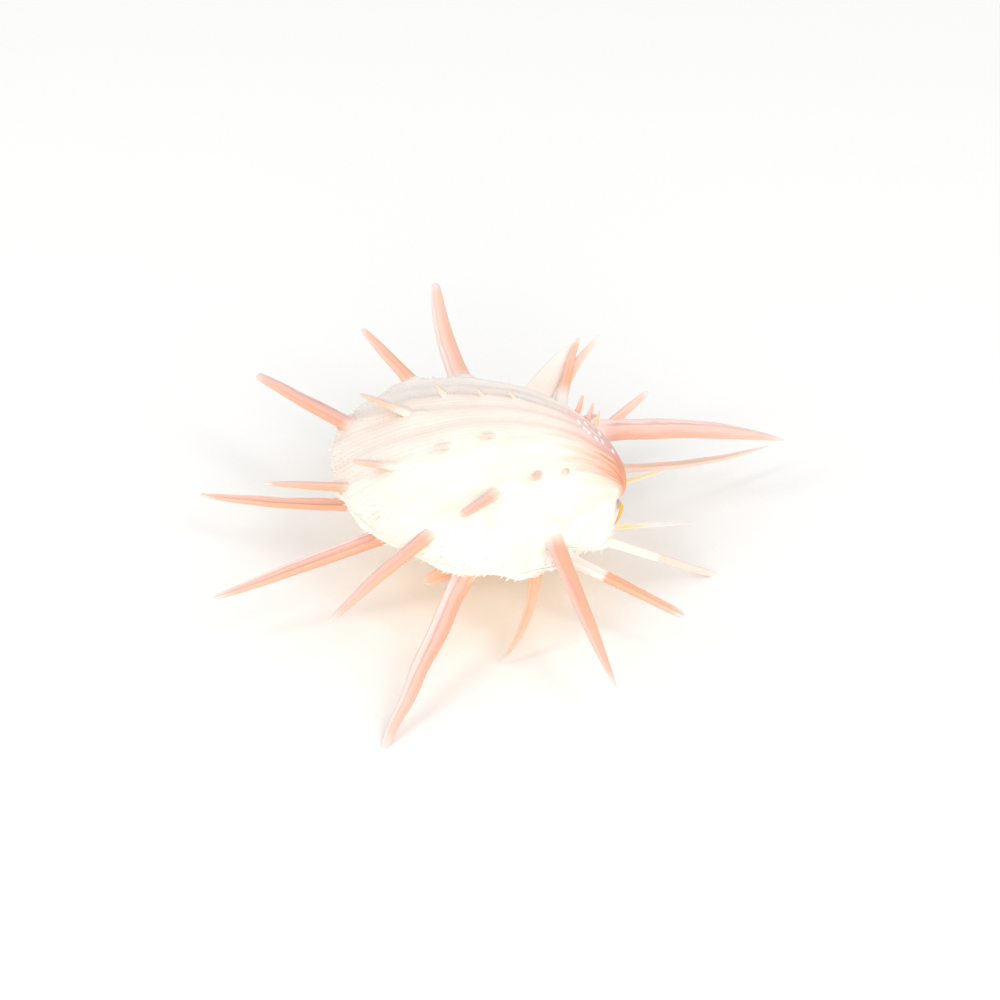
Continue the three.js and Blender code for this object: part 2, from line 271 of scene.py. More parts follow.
# Distance from the hinge line and along it, for rib angles on the margin
def margin_outline(rib):
    angle = np.radians(rib)
    along = np.abs(np.cos(angle))
    across = np.abs(np.sin(angle))
    disc = 1 / np.hypot(along / DISC_HALF_LENGTH, across / DISC_HALF_WIDTH)
    power = EAR_SHARPNESS
    ear = ((along / DISC_HALF_LENGTH) ** power + (across / HINGE_HALF_WIDTH) ** power) ** (-1 / power)
    radius = disc + (ear - disc) * smooth_step(*EAR_NOTCH, np.abs(rib))
    x = DISC_HALF_LENGTH + radius * np.cos(angle)
    y = radius * np.sin(angle) + MARGIN_SLANT * x / (2 * DISC_HALF_LENGTH)
    return x, y


def size_at(valve, stage):
    turn = np.radians(stage)
    return np.exp(-valve.growth * turn - valve.slowing * turn * turn)


# Places on the smooth outside of a valve, level and with the hinge at the origin
def smooth_point(valve, rib, stage):
    x, y = margin_outline(rib)
    turn = np.radians(stage)
    size = size_at(valve, stage)
    reach = size * (x + valve.beak_reach)
    return place(
        valve.axis_shift - reach * np.cos(turn),
        size * y,
        valve.side * (reach * np.sin(turn) + valve.edge),
    )


# Directions on a valve's outside: along the margin, towards the margin, and outwards
def margin_direction(valve, rib, stage):
    step = 0.5
    return unit(smooth_point(valve, rib + step, stage) - smooth_point(valve, rib - step, stage))


def direction_to_margin(valve, rib, stage):
    step = 0.5
    return unit(smooth_point(valve, rib, stage - step) - smooth_point(valve, rib, stage + step))


def outward_normal(valve, rib, stage):
    along = margin_direction(valve, rib, stage)
    return unit(np.cross(along, direction_to_margin(valve, rib, stage)) * valve.side)


# Millimetres grown from the beak to a stage, along a rib
def grown_length(valve, rib, stage):
    x = margin_outline(rib)[0]
    reach = size_at(valve, stage) * (x + valve.beak_reach)
    return reach * math.hypot(1, valve.growth) / valve.growth


# Smooth random swells of about one wavelength, from -1 to 1
def swells(points, wavelength, seed):
    random = np.random.default_rng(seed)
    total = np.zeros(points.shape[:-1])
    waves = 9
    for _ in range(waves):
        way = unit(random.normal(size=points.shape[-1])) * 2 * math.pi / wavelength
        total += np.sin(points @ way * random.uniform(0.7, 1.4) + random.uniform(0, 2 * math.pi))
    return total * 2 / waves


# Height of the main and side ribs over the smooth valve
def rib_relief(valve, rib):
    main = 0
    for top in valve.ribs:
        height, spread = WORN_RIB if top in WORN_RIBS else MAIN_RIB
        main = main + height * np.exp(-(((rib - top) / spread) ** 2))
    height, spacing = SIDE_RIB
    side = height * (0.5 + 0.5 * np.cos(2 * np.pi * rib / spacing))
    fade = 1 - (1 - EAR_RIB_SHARE) * smooth_step(*EAR_NOTCH, np.abs(rib))
    return fade * (main + side)


# Height of the fine relief: threads along the growth, ledges across it, and swells
def fine_relief(valve, rib, stage, size):
    points = smooth_point(valve, rib, stage)
    thread_size = 1 + THREAD_VARIATION * np.sin(THREAD_RHYTHM * np.round(rib / THREAD_SPACING))
    crest = np.abs(np.cos(np.pi * rib / THREAD_SPACING)) ** THREAD_SHARPNESS
    thread = size * THREAD_HEIGHT * thread_size * crest
    wander = LEDGE_WANDER * swells(points, LEDGE_WANDER_LENGTH, 3)
    ledge_phase = (grown_length(valve, rib, stage) / LEDGE_SPACING + wander) % 1
    ledge = LEDGE_HEIGHT * ledge_phase ** 2
    return thread + ledge + SWELL_HEIGHT * swells(points, SWELL_LENGTH, 5)


# Height of the cones of skin that the spines rise from
def root_relief(valve, spines, rib, stage):
    points = smooth_point(valve, rib, stage)
    height = np.zeros(points.shape[:-1])
    for spine in spines:
        root = smooth_point(valve, spine.rib, spine.stage)
        away = np.linalg.norm(points - root, axis=-1) / spine.width
        lift = LONG_CONE_HEIGHT if spine.length > LONG_SPINE else SHORT_CONE_HEIGHT
        height = np.maximum(height, lift * spine.width * np.exp(-((away / CONE_SPREAD) ** 2)))
    return height


def relief(valve, spines, rib, stage):
    size = size_at(valve, stage) ** RELIEF_FADE
    grown = rib_relief(valve, rib) + fine_relief(valve, rib, stage, size)
    return size * grown + root_relief(valve, spines, rib, stage)


def skin_point(valve, spines, rib, stage):
    raised = outward_normal(valve, rib, stage) * relief(valve, spines, rib, stage)[..., None]
    return smooth_point(valve, rib, stage) + raised


# Corner indices of a form made of rings of points that close round, with a middle point at each end
def ring_faces(rings, around):
    ring, step = np.meshgrid(np.arange(rings - 1), np.arange(around), indexing="ij")
    ring, step = ring.ravel(), step.ravel()
    following = (step + 1) % around
    quads = np.stack([
        ring * around + step,
        ring * around + following,
        (ring + 1) * around + following,
        (ring + 1) * around + step,
    ], axis=-1)
    first, last = rings * around, rings * around + 1
    steps = np.arange(around)
    nexts = (steps + 1) % around
    base = (rings - 1) * around
    caps = np.concatenate([
        np.stack([np.full(around, first), nexts, steps], axis=-1),
        np.stack([np.full(around, last), base + steps, base + nexts], axis=-1),
    ])
    return quads, caps


# The value of a trait at each face corner, from one value for each ring and step; the last step
# repeats the first, a full turn on
def corner_values(values, rings, around):
    ring, step = np.meshgrid(np.arange(rings - 1), np.arange(around), indexing="ij")
    ring, step = ring.ravel(), step.ravel()
    quads = np.stack([
        values[ring, step],
        values[ring, step + 1],
        values[ring + 1, step + 1],
        values[ring + 1, step],
    ], axis=-1)
    now, following = values[:, :-1], values[:, 1:]
    caps = np.concatenate([
        np.stack([now[0], following[0], now[0]], axis=-1),
        np.stack([now[-1], now[-1], following[-1]], axis=-1),
    ])
    return np.concatenate([quads.ravel(), caps.ravel()])


# Six times the volume that faces enclose, which is negative where they face inwards
def enclosed(vertices, quads, caps):
    corners = np.concatenate([quads[:, :3], quads[:, [0, 2, 3]], caps])
    first, second, third = vertices[corners].transpose(1, 0, 2)
    return np.sum(first * np.cross(second, third))


# A mesh object from one or more closed forms of the same count of rings and steps. points is
# (forms, rings, around, 3), ends (forms, 2, 3), and each trait (forms, rings, around + 1).
def ring_object(name, points, ends, traits):
    forms, rings, around = points.shape[:3]
    quads, caps = ring_faces(rings, around)
    vertices = np.concatenate([points.reshape(forms, -1, 3), ends], axis=1)
    stride = vertices.shape[1]
    corners = np.concatenate([quads.ravel(), caps.ravel()])
    all_corners = (corners[None, :] + stride * np.arange(forms)[:, None]).ravel()
    sizes = np.tile(np.concatenate([np.full(len(quads), 4), np.full(len(caps), 3)]), forms)
    mesh = bpy.data.meshes.new(name)
    mesh.vertices.add(forms * stride)
    mesh.vertices.foreach_set("co", (vertices * MM).astype(np.float32).ravel())
    mesh.loops.add(len(all_corners))
    mesh.loops.foreach_set("vertex_index", all_corners.astype(np.int32))
    mesh.polygons.add(len(sizes))
    starts = np.concatenate([[0], np.cumsum(sizes)[:-1]])
    mesh.polygons.foreach_set("loop_start", starts.astype(np.int32))
    mesh.update(calc_edges=True)
    for trait in TRAITS:
        attribute = mesh.attributes.new(trait, "FLOAT", "CORNER")
        values = traits.get(trait, 0.0)
        values = np.broadcast_to(values, (forms, rings, around + 1))
        flat = np.concatenate([corner_values(form, rings, around) for form in values])
        attribute.data.foreach_set("value", flat.astype(np.float32))
    if enclosed(vertices[0], quads, caps) < 0:
        mesh.flip_normals()
    mesh.shade_smooth()
    made = bpy.data.objects.new(name, mesh)
    bpy.context.scene.collection.objects.link(made)
    return made


# The outside of a valve, closed flat across the plane between the valves
def valve_skin(name, valve, spines):
    around = 720
    stages = BEAK_END * np.linspace(1, 0, 76) ** 1.3
    lip_inset = 0.1
    lip_heights = np.array([0.72, 0.4, 0.12, 0.0])
    ribs = np.linspace(-180, 180, around + 1)
    rib, stage = np.meshgrid(ribs, np.concatenate([stages, np.zeros(len(lip_heights))]))
    points = skin_point(valve, spines, rib, stage)
    margin = points[len(stages) - 1]
    out = outward_normal(valve, ribs, np.zeros_like(ribs)) * np.array([1, 1, 0])
    for row, share in enumerate(lip_heights):
        height = HALF_GAP + (np.abs(margin[:, 2]) - HALF_GAP) * share
        lip = margin - lip_inset * out * (1 - share) ** 2
        lip[:, 2] = valve.side * height
        points[len(stages) + row] = lip
    points = stand(points) + HINGE
    middles = points[[0, -1]][:, [0, around // 2]].mean(axis=1)
    traits = {
        "rib": rib[None],
        "stage": stage[None],
        "grown": grown_length(valve, rib, stage)[None],
    }
    return ring_object(name, points[None, :, :-1], middles[None], traits)


# The hollow of a valve, which comes out through the plane between the valves
def valve_hollow(name, valve):
    around = 240
    stages = CAVITY_END * np.linspace(0, 1, 26)
    ribs = np.linspace(-180, 180, around + 1)
    rib, stage = np.meshgrid(ribs, np.concatenate([[0.0], stages]))
    x, y = margin_outline(rib)
    inset = 1 - RIM_INSET / DISC_HALF_LENGTH
    size = size_at(valve, stage)
    turn = np.radians(stage)
    reach = size * (DISC_HALF_LENGTH + (x - DISC_HALF_LENGTH) * inset + valve.beak_reach)
    depth = valve.edge + reach * np.sin(turn) * (1 - ROOF_DROP)
    depth[0] = -1
    points = place(valve.axis_shift - reach * np.cos(turn), size * y * inset, valve.side * depth)
    points = stand(points) + HINGE
    middles = points[[0, -1]][:, [0, around // 2]].mean(axis=1)
    traits = {"rib": rib[None], "stage": stage[None], "inside": np.ones_like(rib)[None]}
    return ring_object(name, points[None, :, :-1], middles[None], traits)


# The run of a spine: its start inside the wall, its middle and its tip, its direction, and the length
# over which its root swells
def spine_run(valve, spine):
    root = stand(smooth_point(valve, spine.rib, spine.stage))
    outward = stand(outward_normal(valve, spine.rib, spine.stage))
    heading, rise = math.radians(spine.heading), math.radians(spine.rise)
    direction = np.array([
        math.cos(rise) * math.cos(heading),
        math.cos(rise) * math.sin(heading),
        math.sin(rise),
    ])
    left = np.array([-math.sin(heading), math.cos(heading), 0])
    up = np.cross(direction, left)
    lean = direction @ outward
    swelling = ROOT_TAPER * (1.3 - lean)
    set_back = ROOT_SET_BACK * swelling * (direction - lean * outward)
    start = root - ROOT_SINK * outward - set_back
    tip = root + spine.length * direction
    middle = (start + tip) / 2 + 2 * spine.bow * up + 2 * spine.sway * left
    return start, middle, tip, direction, swelling


# Half width of a spine from root to tip: a flared root, a slow taper and a blunt end
def spine_half_width(spine, t, rounding, swelling):
    grown = t * spine.length
    taper = np.maximum(1 - 0.25 * t - (0.75 - spine.tip) * t ** 4, spine.tip)
    flare = 1 + ROOT_FLARE * np.exp(-grown / FLARE_REACH)
    swell = ROOT_SHARE + (1 - ROOT_SHARE) * smooth_step(0, swelling, grown)
    ending = np.clip((t - 1 + rounding) / rounding, 0, 1)
    blunt = np.sqrt(np.clip(1 - ending ** 2, 0.002, 1))
    return 0.5 * spine.width * taper * flare * swell * blunt


# The turn round a spine at which its pale stripe runs. The stripe keeps to a fixed way, towards the
# front and the left back, so it is partly painted highlight.
def stripe_and_highlight_turn(spine, direction, across, thick):
    beside = unit(np.cross(direction, FRONT))
    beside = beside * np.sign(beside @ LEFT_BACK)
    facing = unit(np.cross(beside, direction))
    facing = facing * np.sign(facing @ FRONT)
    angle = math.radians(spine.pale)
    side = math.cos(angle) * facing + math.sin(angle) * beside
    return math.atan2(side @ across, side @ thick)


# What the materials read along a spine and round it, from its stripe
def spine_traits(spine, seed, t, turn):
    shape = (len(t), turn.shape[1])
    past_root = (t - spine.cream) * max(spine.length, LONG_SPINE)
    if spine.cream > SHEATH_SHARE:
        past_root = past_root * SHEATH_EDGE
    traits = {
        "rib": spine.rib,
        "stage": spine.stage,
        "grown": t * spine.length + seed,
        "along": t if spine.length > WORN_SPINE else 0.8 * t,
        "turn": np.degrees(turn),
        "spine": 1.0,
        "warmth": spine.warmth,
        "past_root": past_root,
        "faint": spine.faint,
    }
    return {trait: np.broadcast_to(values, shape)[None] for trait, values in traits.items()}


# One spine, a fold of the growing margin: wide along the margin, with lengthwise ridges, a groove on
# its far side, a flared root and a blunt tip
def spine_form(name, valve, spine, seed):
    random = np.random.default_rng(seed)
    long_spine = spine.length > LONG_SPINE
    around = 30 if long_spine else 16
    stations = int(np.clip(spine.length / RING_SPACING, 9, 56))
    start, middle, tip, direction, swelling = spine_run(valve, spine)
    rounding = 0.5 * spine.tip * spine.width / spine.length
    body = np.linspace(0, 1 - rounding, stations)
    t = np.concatenate([body, 1 - rounding * np.array([0.7, 0.4, 0.15, 0.03])])[:, None]
    centre = (1 - t) ** 2 * start + 2 * t * (1 - t) * middle + t ** 2 * tip
    tangent = unit(2 * (1 - t) * (middle - start) + 2 * t * (tip - middle))
    wide = stand(margin_direction(valve, spine.rib, spine.stage)) * valve.side
    thick = unit(np.cross(wide, tangent))
    across = np.cross(thick, tangent)
    grown = t * spine.length
    wobble = [swells(grown, WAVE_LENGTH, seed + part)[:, None] for part in (1, 2, 3)]
    free_wave = spine.wave * smooth_step(0.04, 0.3, t)
    centre = centre + free_wave * (wobble[0] * across + 0.6 * wobble[1] * thick)
    turn = np.linspace(-math.pi, math.pi, around + 1)[None, :]
    twist = RIDGE_TWIST * np.sin(grown / RIDGE_TWIST_LENGTH)
    ridges = RIDGE_HEIGHT * np.cos(RIDGE_COUNT * turn + random.uniform(0, 6) + twist)
    bands = BAND_HEIGHT * ((grown / BAND_SPACING + random.uniform(0, 1)) % 1)
    half_width = spine_half_width(spine, t, rounding, swelling) * (1 + 0.4 * free_wave * wobble[2])
    radius = half_width * (1 + ridges * (1 - t ** 3) + bands)
    depth = LONG_GROOVE if long_spine else SHORT_GROOVE
    groove = 1 - depth * smooth_step(*GROOVE_EDGES, -np.cos(turn))
    points = HINGE + (
        centre[:, None, :]
        + (radius * np.sin(turn))[..., None] * across[:, None, :]
        + (radius * spine.flat * groove * np.cos(turn))[..., None] * thick[:, None, :]
    )
    ends = np.stack([centre[0], centre[-1] + 0.02 * tangent[-1]]) + HINGE
    mid = len(t) // 2
    traits = spine_traits(spine, seed, t, turn - stripe_and_highlight_turn(spine, direction, across[mid], thick[mid]))
    return ring_object(name, points[None, :, :-1], ends[None], traits)


# A block that cuts away what is over or under a height, square to the standing or the level shell
def cutting_block(name, low, high, level):
    corners = FAR * np.array([[-1, -1], [1, -1], [1, 1], [-1, 1]])
    points = np.stack([place(corners[:, 0], corners[:, 1], height) for height in (low, high)])
    ends = np.array([[0, 0, low], [0, 0, high]], dtype=float)
    if level:
        points, ends = stand(points), stand(ends)
    return ring_object(name, (points + HINGE)[None], (ends + HINGE)[None], {})


def ligament_form(name, clearance):
    around, rings = 40, 20
    polar = np.linspace(0, math.pi, rings + 2)[1:-1, None]
    turn = np.linspace(0, 2 * math.pi, around + 1)[None, :-1]
    ball = place(np.sin(polar) * np.cos(turn), np.sin(polar) * np.sin(turn), -np.cos(polar))
    half = LIGAMENT_HALF + clearance
    wrinkle = 1 if clearance else 1 - 0.05 * np.abs(np.sin(5 * turn[..., None] + ball[..., 2:] * 4))
    middle = np.array([LIGAMENT_X, 0, 0])
    points = stand(ball * half * wrinkle + middle) + HINGE
    ends = stand(np.array([[0, 0, -half[2]], [0, 0, half[2]]]) + middle) + HINGE
    return ring_object(name, points[None], ends[None], {})


# Joins or cuts a form with others by one boolean step, which keeps what the materials read
def combine(form, others, operation):
    group = bpy.data.collections.new("others")
    bpy.context.scene.collection.children.link(group)
    for other in others:
        bpy.context.scene.collection.objects.unlink(other)
        group.objects.link(other)
    step = form.modifiers.new("step", "BOOLEAN")
    step.operation = operation
    step.solver = "MANIFOLD"
    step.operand_type = "COLLECTION"
    step.collection = group
    graph = bpy.context.evaluated_depsgraph_get()
    mesh = bpy.data.meshes.new_from_object(form.evaluated_get(graph), depsgraph=graph)
    form.modifiers.clear()
    form.data = mesh
    for other in others:
        bpy.data.objects.remove(other)
    bpy.data.collections.remove(group)


def make_valve(name, valve, spines, cuts):
    form = valve_skin(name, valve, spines)
    combine(form, [spine_form("spine", valve, spine, 10 * i) for i, spine in enumerate(spines)], "UNION")
    pocket = ligament_form("pocket", POCKET_CLEARANCE)
    combine(form, [valve_hollow("hollow", valve), pocket, *cuts], "DIFFERENCE")
    crease_angle = math.radians(52)
    form.data.set_sharp_from_angle(angle=crease_angle)
    return form


# Where the prickles of a valve root: along each thread, at an even spacing in millimetres, and fewer
# on the back
def prickle_roots(valve, spines, random):
    ribs, stages = [], []
    for thread in np.arange(-180, 180, THREAD_SPACING):
        reach = margin_outline(thread)[0] + valve.beak_reach
        missing = PRICKLE_GAPS + BACK_GAPS * (BACK_RIBS[0] < thread < BACK_RIBS[1])
        stage = random.uniform(0.0, 1.0)
        while stage < PRICKLE_LAST_STAGE:
            step = PRICKLE_SPACING / (reach * size_at(valve, stage) * math.hypot(1, valve.growth))
            if random.random() > missing:
                ribs.append(thread + random.uniform(-0.35, 0.35))
                stages.append(stage)
            stage += math.degrees(step) * random.uniform(0.75, 1.25)
    ribs, stages = np.array(ribs), np.array(stages)
    points = smooth_point(valve, ribs, stages)
    clear = np.abs(ribs) < PRICKLE_LAST_RIB
    for spine in spines:
        root = smooth_point(valve, spine.rib, spine.stage)
        clear &= np.linalg.norm(points - root, axis=-1) > 0.75 * spine.width
    return ribs[clear], stages[clear]


# Length, width and lean of each prickle. They are longest at the margin and on the back, where
# nothing has worn them, and the scales are broad.
def prickle_sizes(valve, rib, stage, is_scale, random):
    count = len(rib)
    back = smooth_step(40, 70, rib) * (1 - smooth_step(115, 135, rib))
    edge = 1 - smooth_step(1.0, 5.0, stage)
    size = size_at(valve, stage) ** PRICKLE_FADE
    grown = PRICKLE_LENGTH + LONGER_ON_BACK * back + LONGER_AT_MARGIN * edge
    length = size * grown * random.uniform(0.6, 1.4, count)
    width = size * (PRICKLE_WIDTH + 0.1 * np.maximum(back, edge)) * random.uniform(0.8, 1.2, count)
    length[is_scale] = WORN_SCALE_LENGTH
    width[is_scale] = WORN_SCALE_WIDTH
    lean = random.uniform(0.5, 0.9, count) + 0.5 * edge + 1.2 * is_scale
    return length, width, lean


# Fine prickles, each a small curved scale leaning towards the margin. Scales are broad ones, by rib
# and stage.
def make_prickles(name, valve, spines, scales, seed):
    random = np.random.default_rng(seed)
    rib, stage = prickle_roots(valve, spines, random)
    is_scale = np.arange(len(rib) + len(scales)) >= len(rib)
    rib = np.append(rib, [scale[0] for scale in scales])
    stage = np.append(stage, [scale[1] for scale in scales])
    count = len(rib)
    length, width, lean = prickle_sizes(valve, rib, stage, is_scale, random)
    normal = outward_normal(valve, rib, stage)
    to_margin = direction_to_margin(valve, rib, stage)
    sideways = margin_direction(valve, rib, stage)
    way = unit(normal * 0.8 + to_margin * lean[:, None] + sideways * random.normal(0, 0.12, (count, 1)))
    flat = unit(np.cross(way, sideways))
    skew = unit(np.cross(flat, way))
    foot = skin_point(valve, spines, rib, stage) - PRICKLE_SINK * normal
    reach = (length + PRICKLE_SINK)[:, None, None] * way[:, None, :]
    curl = PRICKLE_CURL * length[:, None, None] * to_margin[:, None, :]
    heights = np.array([0.0, 0.45, 0.8, 1.0])[:, None]
    centres = foot[:, None, :] + heights * reach + heights ** 2 * curl
    around = 6
    turn = np.linspace(-math.pi, math.pi, around + 1)[:-1]
    half = 0.5 * width[:, None] * np.array([1.15, 0.78, 0.42])
    points = (
        centres[:, :-1, None, :]
        + (half[..., None] * np.sin(turn))[..., None] * skew[:, None, None, :]
        + (PRICKLE_FLATNESS * half[..., None] * np.cos(turn))[..., None] * flat[:, None, None, :]
    )
    ends = np.stack([foot, centres[:, -1]], axis=1)
    shape = (count, 3, around + 1)
    traits = {
        "rib": np.broadcast_to(rib[:, None, None], shape),
        "stage": np.broadcast_to(stage[:, None, None], shape),
        "along": np.broadcast_to(heights[None, :-1], shape),
        "grown": np.broadcast_to(heights[None, :-1] + stage[:, None, None], shape),
    }
    return ring_object(name, stand(points) + HINGE, stand(ends) + HINGE, traits)


# Linear colour from a six-digit sRGB one
def linear(hex_colour):
    channels = [int(hex_colour[i:i + 2], 16) / 255 for i in (1, 3, 5)]
    curve = [c / 12.92 if c <= 0.04045 else ((c + 0.055) / 1.055) ** 2.4 for c in channels]
    return (*curve, 1.0)


# Scale of a noise pattern over places in metres, from the size of its features in millimetres
def noise_scale(size):
    return 1 / (size * MM)


# Short words for the nodes used most, each with its kind, the sockets that its inputs go to in turn,
# the output that is read, and its settings
SUMS = ("add", "subtract", "multiply", "multiply_add", "divide", "absolute", "maximum", "pingpong")
WORDS = {
    "mix": ("ShaderNodeMix", (0, 6, 7), 2, {"data_type": "RGBA"}),
    "between": ("ShaderNodeMapRange", (0, 1, 2), 0, {"interpolation_type": "SMOOTHSTEP"}),
    **{word: ("ShaderNodeMath", (0, 1, 2), 0, {"operation": word.upper()}) for word in SUMS},
}


# Adds a node with its settings and links, and gives one of its outputs. Inputs come in turn for the
# short words, and by name for any other kind. A ramp's stops are its places and colours.
def add_node(tree, word, *inputs, out=0, stops=(), **settings):
    kind, sockets, out, usual = WORDS.get(word, (word, None, out, {}))
    made = tree.nodes.new(kind)
    for name, value in {**usual, **settings}.items():
        setattr(made, name, value)
    for index, (spot, colour) in enumerate(stops):
        elements = made.color_ramp.elements
        element = elements[index] if index < 2 else elements.new(spot)
        element.position = spot
        element.color = linear(colour)
    named = dict(zip(sockets, inputs)) if sockets else inputs[0]
    for key, value in named.items():
        if isinstance(value, bpy.types.NodeSocket):
            tree.links.new(value, made.inputs[key])
        else:
            made.inputs[key].default_value = value
    return made.outputs[out] if made.outputs else None


# A bare material, and the function that adds nodes to it
def new_material(name):
    material = bpy.data.materials.new(name)
    material.use_nodes = True
    material.node_tree.nodes.clear()
    return material, partial(add_node, material.node_tree)


# What the materials of the shell start from: the traits, streaks and broader bands that run along the
# ribs with the growth of the shell, soft clouds, and the chalky grain
def shell_inputs(add):
    read = {t: add("ShaderNodeAttribute", {}, out=2, attribute_name=t) for t in TRAITS}
    streak_place = add("ShaderNodeCombineXYZ", {
        "X": add("multiply", read["rib"], DEGREE_AT_MARGIN / STREAK_WIDTH),
        "Y": add("divide", read["stage"], STREAK_GROWTH),
    })
    streak = {"Vector": streak_place, "Scale": 1.0, "Detail": 3.0, "Roughness": 0.6}
    read["streak"] = add("ShaderNodeTexNoise", streak)
    band_place = add("ShaderNodeCombineXYZ", {
        "X": add("multiply", read["rib"], DEGREE_AT_MARGIN / BAND_WIDTH),
        "Y": add("divide", read["stage"], BAND_GROWTH),
    })
    read["band"] = add("ShaderNodeTexNoise", {"Vector": band_place, "Scale": 1.0, "Detail": 2.0})
    where = add("ShaderNodeTexCoord", {}, out=3)
    for pattern, size in (("cloud", CLOUD_SIZE), ("grain", GRAIN_SIZE)):
        noise = {"Vector": where, "Scale": noise_scale(size), "Detail": 3.0}
        read[pattern] = add("ShaderNodeTexNoise", noise)
    return read


# Colour of the upper valve's skin: cream, nearly white in front, with faint rosy lines on the back,
# and a blush that deepens to the beak in streaks along the ribs, orange in front and rose behind. The
# front ear is whiter still, painted light that evens out the shade its slant gets.
def upper_skin_colour(add, read):
    cloud = add("between", read["cloud"], 0.35, 0.7)
    front_disc = add("mix", cloud, linear("#F8F2E6"), linear("#F5EDDD"))
    # Whiter on the front ear: painted light that makes up for the shade of its slant
    front = add("mix", add("between", read["rib"], -104.0, -122.0), front_disc, linear("#FBF7EF"))
    top = add("mix", cloud, linear("#F3E5DB"), linear("#F1E1D6"))
    behind = add("mix", cloud, linear("#F7EFE9"), linear("#F5EAE2"))
    old = add("ShaderNodeMapRange", {"Value": read["stage"], "From Max": 48.0, "To Min": 0.2})
    banded = add("multiply", add("between", read["band"], 0.4, 0.62), old)
    banded_top = add("mix", banded, top, linear("#F4E7DC"))
    line = add("multiply", add("between", read["streak"], 0.5, 0.66), 0.35)
    lined = add("mix", add("multiply", line, old), banded_top, linear("#EED3C8"))
    back = add("mix", add("between", read["rib"], 14.0, 40.0), lined, behind)
    slanted = add("multiply_add", read["stage"], -0.45, read["rib"])
    plain = add("mix", add("between", slanted, -92.0, 6.0), front, back)
    ragged = add("multiply_add", read["band"], 34.0, read["stage"])
    shifted = add("multiply_add", read["streak"], 12.0, ragged)
    depth = add("ShaderNodeMapRange", {"Value": shifted, "From Min": 60.0, "From Max": 118.0})
    orange = add("ShaderNodeValToRGB", {0: depth}, stops=(
        (0.0, "#FCF3E8"), (0.2, "#FBE4D5"), (0.4, "#FAD1BC"),
        (0.6, "#F0A683"), (0.8, "#E68E69"), (1.0, "#E38862"),
    ))
    rose = add("ShaderNodeValToRGB", {0: depth}, stops=(
        (0.0, "#FBEDE3"), (0.2, "#F8DDD4"), (0.4, "#F3D1C9"),
        (0.6, "#E9B7B0"), (0.8, "#DE9B92"), (1.0, "#DF957F"),
    ))
    blush = add("mix", add("between", read["rib"], -40.0, 5.0), orange, rose)
    pale_line = add("multiply", add("between", read["streak"], 0.5, 0.38), 0.4)
    streaked = add("mix", pale_line, blush, linear("#FAE3D8"))
    past_front = add("between", read["rib"], -92.0, -58.0)
    blushing = add("multiply", add("between", depth, 0.0, 0.3), past_front)
    beak = add("multiply", add("between", read["stage"], 76.0, 100.0), 0.6)
    blushed = add("mix", blushing, plain, streaked)
    return add("mix", beak, blushed, linear("#EEA87E"))


# Colour of the lower valve's skin: peach along the front, cream on its ears and back, and bright
# orange-yellow at its beak, kept cream right beside the hinge, partly a pale edge of the beak and
# partly painted light that lifts the shade of the crevice between the beaks
def lower_skin_colour(add, read):
    cloud = add("between", read["cloud"], 0.35, 0.7)
    ear = add("mix", cloud, linear("#FDF8F0"), linear("#FAEFE3"))
    shifted = add("multiply_add", read["streak"], 16.0, read["stage"])
    peach = add("mix", add("between", shifted, 9.5, 12.5), linear("#FBF1E4"), linear("#FFD498"))
    beak = add("mix", add("between", shifted, 40.0, 80.0), peach, linear("#F7BA58"))
    past_ear = add("between", read["rib"], -124.0, -113.0)
    front = add("multiply", past_ear, add("between", read["rib"], 40.0, 0.0))
    # Cream right beside the hinge: partly the beak's pale edge, partly painted light in the crevice
    # between the beaks
    from_hinge = add("between", add("absolute", read["rib"]), 168.0, 150.0)
    behind = add("multiply", add("between", shifted, 60.0, 86.0), from_hinge)
    skin = add("mix", add("maximum", front, behind), ear, beak)
    return add("mix", read["spine"], skin, linear("#FCEBE0"))


